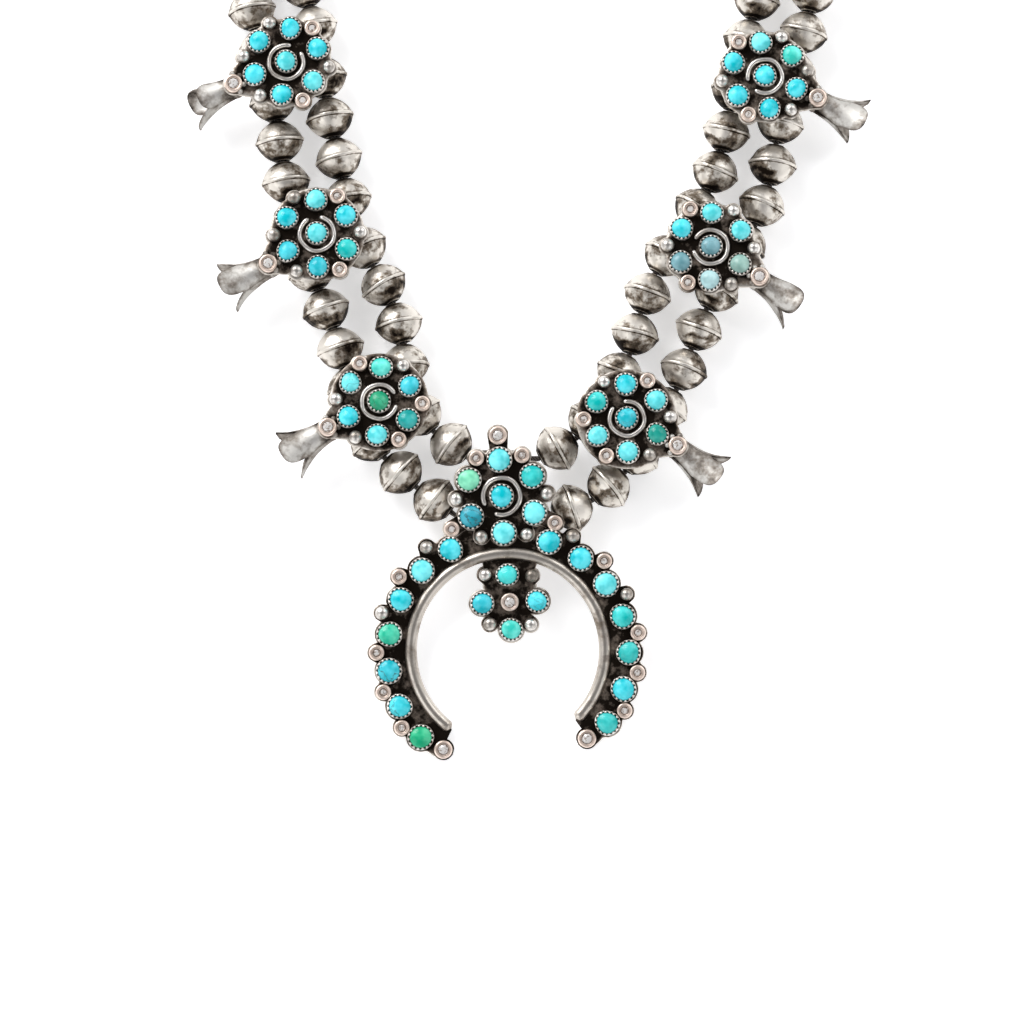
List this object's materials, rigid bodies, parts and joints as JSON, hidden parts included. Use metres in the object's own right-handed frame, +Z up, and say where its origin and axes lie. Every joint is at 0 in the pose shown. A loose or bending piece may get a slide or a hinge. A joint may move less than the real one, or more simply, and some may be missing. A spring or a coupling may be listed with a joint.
{
  "type": "squash blossom necklace",
  "caption": "Necklace of two strands of silver bench beads with squash blossoms, set with turquoise round stones, and a crescent pendant. Laid flat as a whole closed loop.",
  "frame": {"origin": "on the table, in the middle of the outline of the necklace as it lies", "axes": "+Z up from the table, +Y from the crescent pendant towards the clasp, +X to the right of the picture"},
  "size_m": [0.152, 0.3163, 0.0149],
  "materials": {
    "silver": "hand-worked silver, polished on its high places and oxidised dark between the settings",
    "bead_silver": "worn silver with a blotchy warm grey patina",
    "turquoise": "polished turquoise, sky blue to green with some matrix",
    "diamond": "small clear cut stones",
    "thread": "plain cord inside the beads"
  },
  "bodies": {
    "root": {"naja": "silver", "naja_crown_turquoise": "turquoise", "naja_crescent_turquoise": "turquoise", "naja_drop_turquoise": "turquoise", "naja_diamonds": "diamond", "blossom_l1": "silver", "blossom_l1_turquoise": "turquoise", "blossom_l1_diamonds": "diamond", "blossom_l2": "silver", "blossom_l2_turquoise": "turquoise", "blossom_l2_diamonds": "diamond", "blossom_l3": "silver", "blossom_l3_turquoise": "turquoise", "blossom_l3_diamonds": "diamond", "blossom_r1": "silver", "blossom_r1_turquoise": "turquoise", "blossom_r1_diamonds": "diamond", "blossom_r2": "silver", "blossom_r2_turquoise": "turquoise", "blossom_r2_diamonds": "diamond", "blossom_r3": "silver", "blossom_r3_turquoise": "turquoise", "blossom_r3_diamonds": "diamond", "inner_beads_left": "bead_silver", "inner_beads_right": "bead_silver", "outer_beads_left": "bead_silver", "outer_beads_right": "bead_silver", "inner_thread": "thread", "outer_thread": "thread", "clasp": "bead_silver"}
  },
  "joints": []
}
